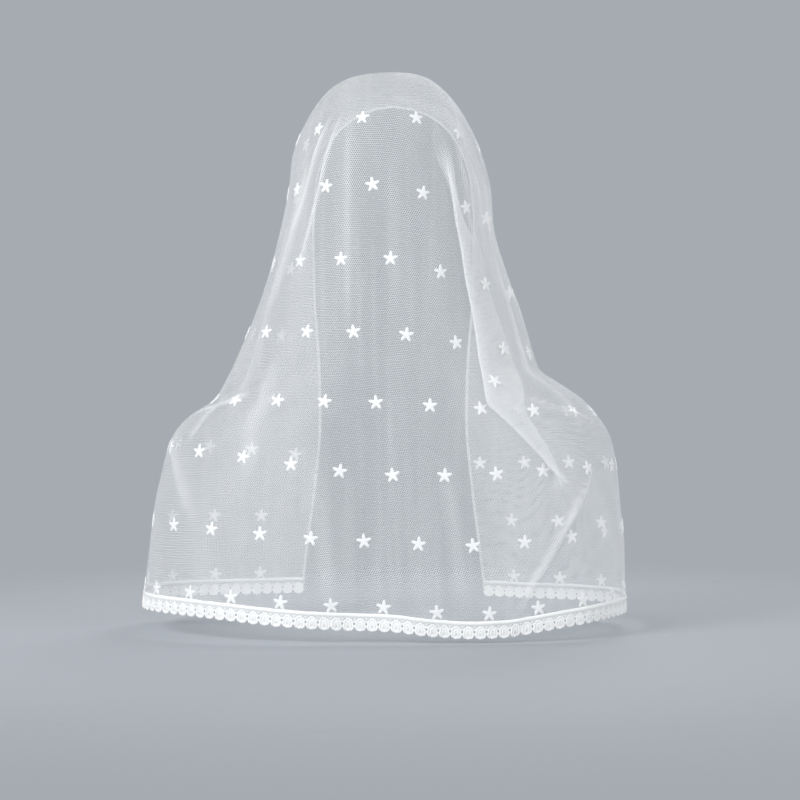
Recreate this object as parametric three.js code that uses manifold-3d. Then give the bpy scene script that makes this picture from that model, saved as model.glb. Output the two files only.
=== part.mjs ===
// Lace headscarf: a draped tulle veil with raised stars, and a pierced scalloped lace trim on its hem.
// Millimetres, +Z up. The wearer faces -Y and the origin is the inside top of the crown.
import * as THREE from "three";
import { mergeVertices } from "three/addons/utils/BufferGeometryUtils.js";
import Module from "manifold-3d";

const wasm = await Module();
wasm.setup();

// Driving sizes
const WALL = 1.2;
const GAP = 0.4;
const STAR_RADIUS = 6.6;
const STAR_WAIST = 2.9;
const STAR_HEIGHT = 1.6;
const STAR_FOOT = 0.55;
const TRIM_THICK = 1.4;
const TRIM_OVERLAP = 4;
const SCALLOP = 10.8;
const SHOULDER_LEVEL = 430;

const RAD = Math.PI / 180;

// Sections of the drape. level: length of cloth down the back from the crown; z; half-widths to the
// left (+X) and right (-X); depths to the back (+Y) and front (-Y); square: exponent of the outline
const SECTIONS = [
  { level: 0, z: 0, left: 0, right: 0, back: 0, front: 0, square: 2 },
  { level: 20, z: -1.3, left: 22, right: 19, back: 20, front: 20, square: 2 },
  { level: 40, z: -5, left: 41, right: 33, back: 39, front: 38, square: 2 },
  { level: 60, z: -12, left: 55, right: 43, back: 57, front: 54, square: 2.02 },
  { level: 80, z: -23, left: 67, right: 54, back: 73, front: 68, square: 2.05 },
  { level: 100, z: -37, left: 77, right: 64, back: 86, front: 79, square: 2.05 },
  { level: 125, z: -58, left: 88, right: 74, back: 96, front: 88, square: 2.05 },
  { level: 150, z: -82, left: 96, right: 82, back: 101, front: 93, square: 2.05 },
  { level: 180, z: -112, left: 99, right: 89, back: 104, front: 95, square: 2.05 },
  { level: 215, z: -147, left: 106, right: 92, back: 105, front: 96, square: 2.05 },
  { level: 255, z: -187, left: 116, right: 103, back: 105.5, front: 96, square: 2.05 },
  { level: 295, z: -227, left: 129, right: 117, back: 107, front: 96, square: 2.1 },
  { level: 335, z: -266, left: 145, right: 131, back: 110, front: 97, square: 2.15 },
  { level: 350, z: -280, left: 151, right: 137, back: 112, front: 99, square: 2.2 },
  { level: 364, z: -294, left: 158, right: 158, back: 113.5, front: 101, square: 2.3 },
  { level: 380, z: -309, left: 168, right: 180, back: 115, front: 104, square: 2.4 },
  { level: 400, z: -323, left: 190, right: 192, back: 117, front: 106, square: 2.5 },
  { level: 420, z: -338, left: 205, right: 202, back: 118.5, front: 108, square: 2.6 },
  { level: 435, z: -352, left: 212, right: 207, back: 120, front: 110, square: 2.6 },
  { level: 460, z: -372, left: 217, right: 211, back: 122.5, front: 113, square: 2.6 },
  { level: 500, z: -410, left: 225, right: 215, back: 126, front: 118, square: 2.6 },
  { level: 540, z: -450, left: 230, right: 219, back: 129, front: 122, square: 2.6 },
  { level: 600, z: -510, left: 236, right: 220, back: 131.5, front: 125.5, square: 2.6 },
  { level: 640, z: -550, left: 240, right: 221, back: 133, front: 128, square: 2.6 },
];

// Height of the trim's top edge round the hem, by azimuth in degrees from the back towards the left
const HEM = [
  { azimuth: -180, z: -490 }, { azimuth: -120, z: -492 }, { azimuth: -90, z: -493.5 },
  { azimuth: -70, z: -494 }, { azimuth: -57, z: -497.5 }, { azimuth: -47, z: -502 },
  { azimuth: -38, z: -505.5 }, { azimuth: -27, z: -506 }, { azimuth: -15, z: -504 },
  { azimuth: 0, z: -500 }, { azimuth: 15, z: -499 }, { azimuth: 38, z: -495.5 },
  { azimuth: 60, z: -490 }, { azimuth: 90, z: -488 }, { azimuth: 130, z: -488 },
  { azimuth: 180, z: -490 },
];

// Soft folds: azimuth at the top and bottom end, first and last level, width along the cloth, height out
const FOLDS = [
  { top: -70, end: -82, from: 60, to: 380, width: 14, height: 4 },
  { top: -58, end: -66, from: 70, to: 350, width: 12, height: -3 },
  { top: 62, end: 74, from: 110, to: 420, width: 20, height: 4 },
  { top: 42, end: 52, from: 250, to: 480, width: 22, height: -4 },
  { top: 30, end: 34, from: 330, to: 700, width: 26, height: 4 },
  { top: 8, end: 12, from: 300, to: 700, width: 26, height: -3.5 },
  { top: -12, end: -10, from: 330, to: 700, width: 24, height: 3.5 },
  { top: -34, end: -30, from: 410, to: 700, width: 26, height: 4 },
  { top: -76, end: -72, from: 430, to: 700, width: 26, height: -6 },
  { top: 70, end: 66, from: 430, to: 700, width: 28, height: -6 },
  { top: 100, end: 106, from: 420, to: 700, width: 28, height: 6 },
  { top: -100, end: -108, from: 420, to: 700, width: 28, height: 6 },
  { top: 124, end: 128, from: 330, to: 700, width: 24, height: -8 },
  { top: -124, end: -128, from: 330, to: 700, width: 24, height: -8 },
];

// The pleat that falls from the crown to the right shoulder: azimuth of its middle, width of its three
// layers, how far the cloth turns at each of its two edges in degrees, and the cloth in each turn
const PLEAT = [
  { level: 0, azimuth: -26, width: 2, turn: 0, bend: 3 },
  { level: 110, azimuth: -25, width: 2, turn: 6, bend: 4 },
  { level: 150, azimuth: -28, width: 3, turn: 70, bend: 6 },
  { level: 185, azimuth: -33.5, width: 5, turn: 172, bend: 6.6 },
  { level: 240, azimuth: -42.3, width: 18, turn: 178, bend: 6.6 },
  { level: 270, azimuth: -45.5, width: 26, turn: 178, bend: 6.6 },
  { level: 300, azimuth: -48, width: 32, turn: 178, bend: 6.6 },
  { level: 325, azimuth: -49.3, width: 37, turn: 178, bend: 6.6 },
  { level: 350, azimuth: -49, width: 39, turn: 178, bend: 6.6 },
  { level: 365, azimuth: -46.5, width: 35, turn: 178, bend: 6.6 },
  { level: 385, azimuth: -44.5, width: 29, turn: 178, bend: 6.6 },
  { level: 400, azimuth: -46, width: 23, turn: 178, bend: 6.6 },
  { level: 420, azimuth: -49, width: 15.5, turn: 178, bend: 6.6 },
  { level: 440, azimuth: -52.8, width: 9.5, turn: 178, bend: 6.6 },
  { level: 455, azimuth: -54.6, width: 6, turn: 172, bend: 6.6 },
  { level: 470, azimuth: -56.4, width: 3.5, turn: 120, bend: 6.6 },
  { level: 485, azimuth: -57.6, width: 2, turn: 40, bend: 5 },
  { level: 510, azimuth: -58, width: 1.5, turn: 6, bend: 4 },
  { level: 560, azimuth: -58, width: 1.5, turn: 0, bend: 2 },
  { level: 640, azimuth: -58, width: 1.5, turn: 0, bend: 2 },
];
const PLEAT_LEAD = 34;

// Rows of stars: level at the back, distance of one star left of the back's middle line, pitch along
// the cloth, and how much higher the row lies at each side
const STAR_ROWS = [
  { level: 114, first: 27, pitch: 48, leftRise: -18, rightRise: -25 },
  { level: 183, first: 18, pitch: 46, leftRise: 0, rightRise: -28 },
  { level: 250, first: 1, pitch: 46, leftRise: 0, rightRise: -28 },
  { level: 317, first: -12, pitch: 46.5, leftRise: 2, rightRise: -18 },
  { level: 384, first: 14, pitch: 46.5, leftRise: 4, rightRise: -12 },
  { level: 465, first: 0, pitch: 46.5, leftRise: 28, rightRise: 6 },
  { level: 526, first: -23, pitch: 48, leftRise: 6, rightRise: 2 },
  { level: 580.5, first: 7, pitch: 46.5, leftRise: 0, rightRise: 0 },
];

// The face opening, half of its width at each height
const OPENING = [
  { z: -22, half: 0 }, { z: -23, half: 12 }, { z: -26, half: 23 }, { z: -32, half: 36 },
  { z: -42, half: 49 }, { z: -56, half: 60 }, { z: -75, half: 69 }, { z: -100, half: 75 },
  { z: -150, half: 78 }, { z: -210, half: 77 }, { z: -270, half: 73 }, { z: -330, half: 72 },
  { z: -400, half: 78 }, { z: -460, half: 86 }, { z: -560, half: 98 },
];

// Rows and columns of the cloth. Columns are shares of the way from the pleat round to the front
const ROWS = [18, 38, 60, 84, 110, 140, 175, 215, 255, 295, 330, 354, 378, 404, SHOULDER_LEVEL];
const LOWER_ROWS = [0.25, 0.5, 0.77, 1];
const RIGHT_COLUMNS = [0.13, 0.25, 0.37, 0.48, 0.59, 0.69, 0.79, 0.9];
const LEFT_COLUMNS = [0.06, 0.12, 0.18, 0.24, 0.3, 0.36, 0.42, 0.48, 0.54, 0.6, 0.66, 0.73, 0.81, 0.9];
const EDGE_AZIMUTH = 142;

// A smooth curve through two columns of a table that never overshoots its rows
function curve(table, along, value) {
  const x = table.map((row) => row[along]);
  const y = table.map((row) => row[value]);
  const rise = x.slice(1).map((next, i) => (y[i + 1] - y[i]) / (next - x[i]));
  const slope = x.map((_, i) => {
    const before = rise[Math.max(0, i - 1)];
    const after = rise[Math.min(rise.length - 1, i)];
    return before * after <= 0 ? 0 : (2 * before * after) / (before + after);
  });
  return (at) => {
    const t = Math.min(Math.max(at, x[0]), x[x.length - 1]);
    let i = 0;
    while (i < x.length - 2 && t > x[i + 1]) i += 1;
    const step = x[i + 1] - x[i];
    const u = (t - x[i]) / step;
    const start = (1 + 2 * u) * (1 - u) ** 2 * y[i] + u * (1 - u) ** 2 * step * slope[i];
    const end = u * u * (3 - 2 * u) * y[i + 1] + u * u * (u - 1) * step * slope[i + 1];
    return start + end;
  };
}

const mix = (from, to, share) => from + (to - from) * share;

function ramp(from, to, at) {
  const t = Math.min(1, Math.max(0, (at - from) / (to - from)));
  return t * t * (3 - 2 * t);
}

const section = {};
for (const name of ["z", "left", "right", "back", "front", "square"]) {
  section[name] = curve(SECTIONS, "level", name);
}
const hemHeight = curve(HEM, "azimuth", "z");
const pleat = {};
for (const name of ["azimuth", "width", "turn", "bend"]) {
  pleat[name] = curve(PLEAT, "level", name);
}

// The sections' last rows fall straight, so a height below them gives its level back
const hemLevel = (azimuth) => 90 - hemHeight(azimuth);

const meanRadius = (level) =>
  (section.left(level) + section.right(level) + section.back(level) + section.front(level)) / 4;

// How far the soft folds lift the cloth at a level and azimuth
function foldLift(level, azimuth) {
  let lift = 0;
  for (const fold of FOLDS) {
    const share = (level - fold.from) / (fold.to - fold.from);
    if (share <= 0 || share >= 1) continue;
    const middle = mix(fold.top, fold.end, share);
    const off = ((azimuth - middle) * RAD * meanRadius(level)) / fold.width;
    const fadeOut = fold.to > 640 ? 1 : ramp(1, 0.75, share);
    lift += fold.height * Math.exp(-off * off) * ramp(0, 0.35, share) * fadeOut;
  }
  return lift;
}

// A point of the drape without its pleat
function drape(level, azimuth) {
  const sin = Math.sin(azimuth * RAD);
  const cos = Math.cos(azimuth * RAD);
  const side = sin >= 0 ? section.left(level) : section.right(level);
  const deep = cos >= 0 ? section.back(level) : section.front(level);
  const height = section.z(level) + WALL / 2;
  if (level <= 0) return new THREE.Vector3(0, 0, height);
  const n = section.square(level);
  const reach = (Math.abs(sin / side) ** n + Math.abs(cos / deep) ** n) ** (-1 / n);
  const radius = reach + foldLift(level, azimuth);
  return new THREE.Vector3(radius * sin, radius * cos, height);
}

// The level that a row of the lower cloth has at an azimuth, so that the rows follow the hem
function rowLevel(row, azimuth) {
  if (row < ROWS.length) return ROWS[row];
  const hem = hemLevel(azimuth) + TRIM_OVERLAP;
  return mix(SHOULDER_LEVEL, hem, LOWER_ROWS[row - ROWS.length]);
}

// The pleat's line across the cloth: steps along the cloth and out of it, from the side to the back
function pleatLine(level) {
  const scale = Math.min(1, meanRadius(level) / 100);
  const turn = Math.max(0.5, pleat.turn(level)) * RAD;
  const radius = (pleat.bend(level) * scale) / turn;
  const half = (pleat.width(level) * scale) / 2;
  const start = [half * Math.cos(turn), -half * Math.sin(turn)];
  const centre = [start[0] + radius * Math.sin(turn), start[1] + radius * Math.cos(turn)];
  const inner = [start];
  for (let k = 1; k <= 4; k += 1) {
    const heading = -turn * (1 - k / 4);
    inner.push([centre[0] + radius * Math.sin(heading), centre[1] - radius * Math.cos(heading)]);
  }
  const outer = inner.map(([along, out]) => [-along, -out]).reverse();
  const out = inner[inner.length - 1][1];
  const reach = Math.max(...inner.map(([along]) => Math.abs(along)));
  const lead = reach + PLEAT_LEAD * scale;
  const near = reach + 6 * scale;
  return {
    lead,
    points: [[-lead, 0], [-near, -out * 0.9], ...outer, ...inner, [near, out * 0.9], [lead, 0]],
    out: -out,
  };
}

// A point beside the pleat's middle, some way along the cloth and out of it
function besidePleat(level, along, out) {
  const perDegree = meanRadius(level) * RAD;
  const azimuth = pleat.azimuth(level) + along / perDegree;
  const point = drape(level, azimuth);
  const ahead = drape(level, azimuth + 1).sub(drape(level, azimuth - 1));
  const outward = new THREE.Vector3(-ahead.y, ahead.x, 0).normalize();
  if (outward.x * point.x + outward.y * point.y < 0) outward.negate();
  return point.addScaledVector(outward, out);
}

// One row of the cloth's middle surface, round from the front over the right side, the back and the left
function clothRow(row) {
  const middle = pleat.azimuth(rowLevel(row, -50));
  const level = rowLevel(row, middle);
  const line = pleatLine(level);
  const lead = line.lead / (meanRadius(level) * RAD);
  const right = [-180, -161, -EDGE_AZIMUTH];
  for (const share of RIGHT_COLUMNS) right.push(mix(-EDGE_AZIMUTH, middle - lead, share));
  const left = LEFT_COLUMNS.map((share) => mix(middle + lead, EDGE_AZIMUTH, share));
  left.push(EDGE_AZIMUTH, 161);
  const at = (azimuth) => drape(rowLevel(row, azimuth), azimuth);
  const folded = line.points.map(([along, out]) => besidePleat(level, along, out));
  return [...right.map(at), ...folded, ...left.map(at)];
}

// Rows of points over the whole cloth, from the crown to the hem
const grid = [];
for (let row = 0; row < ROWS.length + LOWER_ROWS.length; row += 1) grid.push(clothRow(row));
const COLUMNS = grid[0].length;
const vertexOf = (row, column) => 1 + row * COLUMNS + (column % COLUMNS);

function geometryOf(points, triangles) {
  const geometry = new THREE.BufferGeometry();
  geometry.setAttribute("position", new THREE.Float32BufferAttribute(points.flatMap((p) => p.toArray()), 3));
  geometry.setIndex(triangles.flat());
  return geometry;
}

const middlePoints = [drape(0, 0), ...grid.flat()];
const middleTriangles = [];
for (let column = 0; column < COLUMNS; column += 1) {
  middleTriangles.push([0, vertexOf(0, column + 1), vertexOf(0, column)]);
  for (let row = 1; row < grid.length; row += 1) {
    const [a, b] = [vertexOf(row - 1, column), vertexOf(row - 1, column + 1)];
    const [c, d] = [vertexOf(row, column), vertexOf(row, column + 1)];
    middleTriangles.push([a, b, d], [a, d, c]);
  }
}
const middleGeometry = geometryOf(middlePoints, middleTriangles);
middleGeometry.computeVertexNormals();
const normals = middlePoints.map((_, i) =>
  new THREE.Vector3().fromBufferAttribute(middleGeometry.getAttribute("normal"), i));

// A closed shell between two offsets from the cloth's middle surface
function shell(inside, outside) {
  const offset = (by) => middlePoints.map((p, i) => p.clone().addScaledVector(normals[i], by));
  const count = middlePoints.length;
  const triangles = [...middleTriangles];
  for (const [a, b, c] of middleTriangles) triangles.push([a + count, c + count, b + count]);
  const last = grid.length - 1;
  for (let column = 0; column < COLUMNS; column += 1) {
    const [a, b] = [vertexOf(last, column), vertexOf(last, column + 1)];
    triangles.push([a, b, b + count], [a, b + count, a + count]);
  }
  return solid(geometryOf([...offset(outside), ...offset(inside)], triangles));
}

function solid(geometry) {
  const merged = geometry.clone();
  merged.deleteAttribute("normal");
  merged.deleteAttribute("uv");
  const welded = mergeVertices(merged, 1e-3);
  const mesh = new wasm.Mesh({
    numProp: 3,
    vertProperties: new Float32Array(welded.getAttribute("position").array),
    triVerts: new Uint32Array(welded.getIndex().array),
  });
  return new wasm.Manifold(mesh);
}

function geometryFrom(manifold) {
  const mesh = manifold.getMesh();
  const geometry = new THREE.BufferGeometry();
  geometry.setAttribute("position", new THREE.Float32BufferAttribute(mesh.vertProperties, 3));
  geometry.setIndex(Array.from(mesh.triVerts));
  return geometry;
}

// The outermost layer of the cloth, past the pleat too
function outermost(level, azimuth) {
  const along = (azimuth - pleat.azimuth(level)) * RAD * meanRadius(level);
  const line = pleatLine(level);
  if (Math.abs(along) > line.lead) return drape(level, azimuth);
  const edge = line.lead - PLEAT_LEAD * Math.min(1, meanRadius(level) / 100);
  if (along > edge) return besidePleat(level, along, -line.out * ramp(line.lead, edge, along));
  return besidePleat(level, along, line.out * ramp(-line.lead, -edge, along));
}

// The azimuth that lies some length of cloth to the left of the back's middle line
function azimuthAt(level, length) {
  const step = Math.sign(length) * 0.5;
  let azimuth = 0;
  let gone = 0;
  let point = drape(level, 0);
  while (gone < Math.abs(length) && Math.abs(azimuth) < 175) {
    azimuth += step;
    const next = drape(level, azimuth);
    gone += next.distanceTo(point);
    point = next;
  }
  return azimuth;
}

const openingShape = OPENING.map(({ z, half }) => new THREE.Vector2(half, z));

function openingHalf(z) {
  return z > -22 ? -99 : curve(OPENING.map((row) => ({ down: -row.z, half: row.half })), "down", "half")(-z);
}

// Where the cloth's facets lie at a point near them, along a direction
function ontoCloth(point, outward) {
  const ray = new THREE.Ray(point.clone().addScaledVector(outward, 6), outward.clone().negate());
  let nearest = null;
  for (const corners of middleTriangles) {
    const [a, b, c] = corners.map((i) => middlePoints[i]);
    const hit = ray.intersectTriangle(a, b, c, true, new THREE.Vector3());
    if (hit && (!nearest || hit.distanceTo(ray.origin) < nearest.distanceTo(ray.origin))) nearest = hit;
  }
  return nearest;
}

// A five-armed pyramid, its foot sunk in the cloth, at one star of the pattern
function starPyramid(level, azimuth, turn) {
  const perDegree = meanRadius(level) * RAD;
  const across = outermost(level, azimuth + 6 / perDegree).sub(outermost(level, azimuth - 6 / perDegree));
  const down = outermost(level + 6, azimuth).sub(outermost(level - 6, azimuth));
  across.normalize();
  const outward = new THREE.Vector3().crossVectors(across, down).normalize();
  const up = new THREE.Vector3().crossVectors(across, outward);
  const centre = ontoCloth(outermost(level, azimuth), outward).addScaledVector(outward, WALL / 2);
  const spread = (STAR_HEIGHT + STAR_FOOT) / STAR_HEIGHT;
  const points = [];
  const rim = [];
  for (let k = 0; k < 10; k += 1) {
    const angle = (90 + turn + k * 36) * RAD;
    const reach = (k % 2 === 0 ? STAR_RADIUS : STAR_WAIST) * spread;
    rim.push(new THREE.Vector2(reach * Math.cos(angle), reach * Math.sin(angle)));
    points.push(centre.clone().addScaledVector(across, rim[k].x).addScaledVector(up, rim[k].y)
      .addScaledVector(outward, -STAR_FOOT));
  }
  points.push(centre.clone().addScaledVector(outward, STAR_HEIGHT));
  const triangles = [...THREE.ShapeUtils.triangulateShape(rim, [])];
  for (let k = 0; k < 10; k += 1) triangles.push([(k + 1) % 10, k, 10]);
  return geometryOf(points, triangles);
}

function starSpots() {
  const spots = [];
  STAR_ROWS.forEach((row, number) => {
    for (let k = -12; k <= 12; k += 1) {
      const length = row.first + k * row.pitch;
      const azimuth = azimuthAt(row.level, length);
      const rise = azimuth > 0 ? row.leftRise : row.rightRise;
      const drop = row.level < SHOULDER_LEVEL ? 0 :
        ((row.level - SHOULDER_LEVEL) / (hemLevel(0) - SHOULDER_LEVEL)) * (hemLevel(azimuth) - hemLevel(0));
      const bow = row.level < SHOULDER_LEVEL ? 1 : 2;
      const level = row.level + drop - rise * Math.abs(Math.sin(azimuth * RAD)) ** bow;
      const spot = outermost(level, azimuth);
      const edge = openingHalf(spot.z) + STAR_RADIUS + 3;
      const inFront = spot.y < 0;
      if (Math.abs(azimuth) > 170 || (inFront && Math.abs(spot.x) < edge)) continue;
      spots.push({ level, azimuth, turn: 8 * Math.sin(3.1 * k + 1.7 * number) });
    }
  });
  return spots;
}

function veilGeometry() {
  let stars = null;
  for (const { level, azimuth, turn } of starSpots()) {
    const star = solid(starPyramid(level, azimuth, turn));
    stars = stars ? stars.add(star) : star;
  }
  const face = new THREE.Shape([
    ...openingShape,
    ...openingShape.slice(1).reverse().map((p) => new THREE.Vector2(-p.x, p.y)),
  ]);
  const faceCut = new THREE.ExtrudeGeometry(face, { depth: 300, bevelEnabled: false });
  faceCut.rotateX(Math.PI / 2);
  faceCut.translate(0, -20, 0);
  return geometryFrom(shell(-WALL / 2, WALL / 2).add(stars).subtract(solid(faceCut)));
}

// Points of the hem's line: for each column of the last row its place, its way down and its way out
function hemLine() {
  const last = grid.length - 1;
  const line = [];
  for (let column = 0; column < COLUMNS; column += 1) {
    const point = grid[last][column];
    const down = point.clone().sub(grid[last - 1][column]).normalize();
    line.push({ point, down, outward: normals[vertexOf(last, column)] });
  }
  const beforePleat = 3 + RIGHT_COLUMNS.length + 1;
  const kept = (column) =>
    column <= beforePleat || column === beforePleat + 5 || column >= beforePleat + 11;
  return line.filter((_, column) => column >= 2 && column < COLUMNS - 1 && kept(column));
}

// One scallop of the trim, from the middle of a motif to the middle of the next, as shares of the pitch
const SCALLOP_EDGE = [[0, 16], [0.34, 14.6], [0.5, 12.4], [0.66, 14.6], [1, 16]];
const SCALLOP_HOLE = [[0.5, 7.4], [0.61, 9], [0.5, 10.6], [0.39, 9]];

function trimGeometry() {
  const line = hemLine();
  const contour = [[0, 0], ...SCALLOP_EDGE, [1, 0]].map(([x, y]) => new THREE.Vector2(x * SCALLOP, -y));
  const hole = SCALLOP_HOLE.map(([x, y]) => new THREE.Vector2(x * SCALLOP, -y));
  const faces = THREE.ShapeUtils.triangulateShape(contour, [hole]);
  const corners = [[0, 0], ...SCALLOP_EDGE, [1, 0], ...SCALLOP_HOLE];
  const points = [];
  const triangles = [];
  const inside = WALL / 2 + GAP;
  for (let piece = 0; piece < line.length - 1; piece += 1) {
    const [from, to] = [line[piece], line[piece + 1]];
    const cells = Math.max(1, Math.round(from.point.distanceTo(to.point) / SCALLOP));
    for (let cell = 0; cell < cells; cell += 1) {
      const base = points.length;
      for (const out of [inside, inside + TRIM_THICK]) {
        for (const [x, drop] of corners) {
          const share = (cell + x) / cells;
          const point = from.point.clone().lerp(to.point, share);
          const down = from.down.clone().lerp(to.down, share);
          const outward = from.outward.clone().lerp(to.outward, share);
          points.push(point.addScaledVector(down, drop - TRIM_OVERLAP)
            .addScaledVector(outward, out));
        }
      }
      const count = corners.length;
      for (const [a, b, c] of faces) {
        triangles.push([base + a, base + b, base + c]);
        triangles.push([base + count + a, base + count + c, base + count + b]);
      }
      const rims = [[6, 0], [1, 2], [2, 3], [3, 4], [4, 5], [7, 8], [8, 9], [9, 10], [10, 7]];
      if (piece === 0 && cell === 0) rims.push([0, 1]);
      if (piece === line.length - 2 && cell === cells - 1) rims.push([5, 6]);
      for (const [a, b] of rims) {
        triangles.push([base + b, base + a, base + count + a], [base + b, base + count + a, base + count + b]);
      }
    }
  }
  return mergeVertices(geometryOf(points, triangles), 1e-3);
}

function named(name, geometry, colour, roughness) {
  const material = new THREE.MeshStandardMaterial({ color: colour, roughness, metalness: 0 });
  const mesh = new THREE.Mesh(geometry, material);
  mesh.name = name;
  return mesh;
}

const headscarf = new THREE.Group();
headscarf.add(named("tulle_veil", veilGeometry(), 0xeceef0, 0.85));
headscarf.add(named("lace_hem_trim", trimGeometry(), 0xfbfbfa, 0.8));

export default headscarf;
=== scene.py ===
"""Lace headscarf: a sheer tulle veil with embroidered stars and a scalloped lace trim, draped as worn.

Metres, +Z up. The face opening is towards -Y and the origin is the inside top of the crown.
"""
import math
from bisect import bisect_right

import bmesh
import bpy
from mathutils import Matrix, Vector, noise
from mathutils.bvhtree import BVHTree


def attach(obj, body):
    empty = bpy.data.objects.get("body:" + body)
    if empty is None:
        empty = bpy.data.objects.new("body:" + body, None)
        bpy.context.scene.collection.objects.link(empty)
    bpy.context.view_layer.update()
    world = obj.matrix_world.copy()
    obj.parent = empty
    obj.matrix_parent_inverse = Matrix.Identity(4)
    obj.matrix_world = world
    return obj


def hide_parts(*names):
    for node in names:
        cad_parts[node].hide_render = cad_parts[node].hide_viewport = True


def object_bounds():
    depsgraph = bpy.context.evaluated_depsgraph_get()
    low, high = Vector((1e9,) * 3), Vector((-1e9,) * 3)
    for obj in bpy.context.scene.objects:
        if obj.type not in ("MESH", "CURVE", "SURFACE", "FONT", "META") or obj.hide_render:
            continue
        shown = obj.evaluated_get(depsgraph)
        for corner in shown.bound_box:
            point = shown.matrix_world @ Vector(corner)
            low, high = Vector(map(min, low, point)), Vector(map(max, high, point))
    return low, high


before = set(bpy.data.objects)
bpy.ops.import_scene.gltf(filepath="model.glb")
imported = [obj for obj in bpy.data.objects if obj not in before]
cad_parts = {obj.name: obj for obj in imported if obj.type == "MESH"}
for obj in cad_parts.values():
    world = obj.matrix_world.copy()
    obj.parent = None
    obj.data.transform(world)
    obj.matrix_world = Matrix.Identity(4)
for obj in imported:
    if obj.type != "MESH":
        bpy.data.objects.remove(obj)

MM = 0.001
cad_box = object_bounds()

# Driving sizes in millimetres
CLOTH_THICK = 0.4
TRIM_DROP = 16.0
TRIM_OVERLAP = 4.0
SCALLOP = 10.8
SHOULDER_LEVEL = 430.0
HEM_BASE = 90.0
# Half of the solid model's wall, whose middle the fine cloth follows
CAD_HALF_WALL = 0.6
# A star's arm, how deep the star starts in the cloth, and the room it leaves beside the face edge
STAR_RADIUS = 7.0
STAR_DEEP = 0.15
STAR_CLEAR = 3.0
# Heights out of the cloth in the trim: base of its plates, top of the open bars, and top of the fans
GROUND_BASE = 0.2
BARS_TOP = 0.42
GROUND_TOP = 0.7
KNOT_RISE = 0.55
# The trim's heading: its middle, down from the trim's top and out of the cloth, and its radius
HEADING_DOWN = 1.6
HEADING_OUT = 0.8
HEADING_RADIUS = 1.75
# Length round the section of the face edge's hem
EDGE_GIRTH = 7.0
# The net: width of a cell in millimetres, and half a thread as a share of that
MESH_PERIOD = 1.8
MESH_THREAD = 0.042

# Sections of the drape: length of cloth down the back from the crown, height, half-widths to the left
# (+X) and right (-X), depths to the back (+Y) and front (-Y), and the exponent of the outline
SECTION_COLUMNS = ("level", "z", "left", "right", "back", "front", "square")
SECTIONS = [
    (0, 0, 0, 0, 0, 0, 2),
    (20, -1.3, 22, 19, 20, 20, 2),
    (40, -5, 41, 33, 39, 38, 2),
    (60, -12, 55, 43, 57, 54, 2.02),
    (80, -23, 67, 54, 73, 68, 2.05),
    (100, -37, 77, 64, 86, 79, 2.05),
    (125, -58, 88, 74, 96, 88, 2.05),
    (150, -82, 96, 82, 101, 93, 2.05),
    (180, -112, 99, 89, 104, 95, 2.05),
    (215, -147, 106, 92, 105, 96, 2.05),
    (255, -187, 116, 103, 105.5, 96, 2.05),
    (295, -227, 129, 117, 107, 96, 2.1),
    (335, -266, 145, 131, 110, 97, 2.15),
    (350, -280, 151, 137, 112, 99, 2.2),
    (364, -294, 158, 158, 113.5, 101, 2.3),
    (380, -309, 168, 180, 115, 104, 2.4),
    (400, -323, 190, 192, 117, 106, 2.5),
    (420, -338, 205, 202, 118.5, 108, 2.6),
    (435, -352, 212, 207, 120, 110, 2.6),
    (460, -372, 217, 211, 122.5, 113, 2.6),
    (500, -410, 225, 215, 126, 118, 2.6),
    (540, -450, 230, 219, 129, 122, 2.6),
    (600, -510, 236, 220, 131.5, 125.5, 2.6),
    (640, -550, 240, 221, 133, 128, 2.6),
]

# Height of the trim's top edge round the hem, by azimuth in degrees from the back towards the left
HEM = [
    (-180, -490), (-120, -492), (-90, -493.5), (-70, -494), (-57, -497.5), (-47, -502),
    (-38, -505.5), (-27, -506), (-15, -504), (0, -500), (15, -499), (38, -495.5),
    (60, -490), (90, -488), (130, -488), (180, -490),
]

# Soft folds: azimuth at the top and bottom end, first and last level, width along the cloth, height out
FOLDS = [
    (-70, -82, 60, 380, 14, 4),
    (-58, -66, 70, 350, 12, -3),
    (62, 74, 110, 420, 20, 4),
    (42, 52, 250, 480, 22, -4),
    (30, 34, 330, 700, 26, 4),
    (8, 12, 300, 700, 26, -3.5),
    (-12, -10, 330, 700, 24, 3.5),
    (-34, -30, 410, 700, 26, 4),
    (-76, -72, 430, 700, 26, -6),
    (70, 66, 430, 700, 28, -6),
    (100, 106, 420, 700, 28, 6),
    (-100, -108, 420, 700, 28, 6),
    (124, 128, 330, 700, 24, -8),
    (-124, -128, 330, 700, 24, -8),
]

# Pinched creases, in the same columns as the folds
CREASES = [
    (38, 58, 108, 245, 2.8, 3.6),
    (30, 50, 108, 268, 2.8, 3.4),
    (50, 64, 150, 300, 5, 2.6),
    (-36, -50, 118, 275, 2.6, 3.2),
    (-33, -66, 96, 212, 2.6, 3),
    (-64, -80, 150, 330, 5, 2.8),
    (70, 69, 372, 432, 3.0, -3.6),
    (54, 49, 330, 480, 8, 3.2),
    (-69, -39, 448, 604, 3.6, 4),
    (80, 62, 400, 520, 7, 3),
    (24, 20, 96, 330, 4.5, 1.0),
    (1, -1, 130, 320, 6, 0.9),
    (30, 22, 430, 600, 9, 2.4),
    (-20, -26, 440, 600, 9, 2.4),
    (104, 112, 180, 420, 6, 3),
    (-100, -110, 200, 440, 6, 3),
]

# Creases that run across: azimuth and level at both ends, width down the cloth, height out
RIDGES = [
    (-50, 376, -76, 413, 3.4, 3.4),
    (58, 372, 80, 402, 4.5, 2.8),
]

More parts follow.
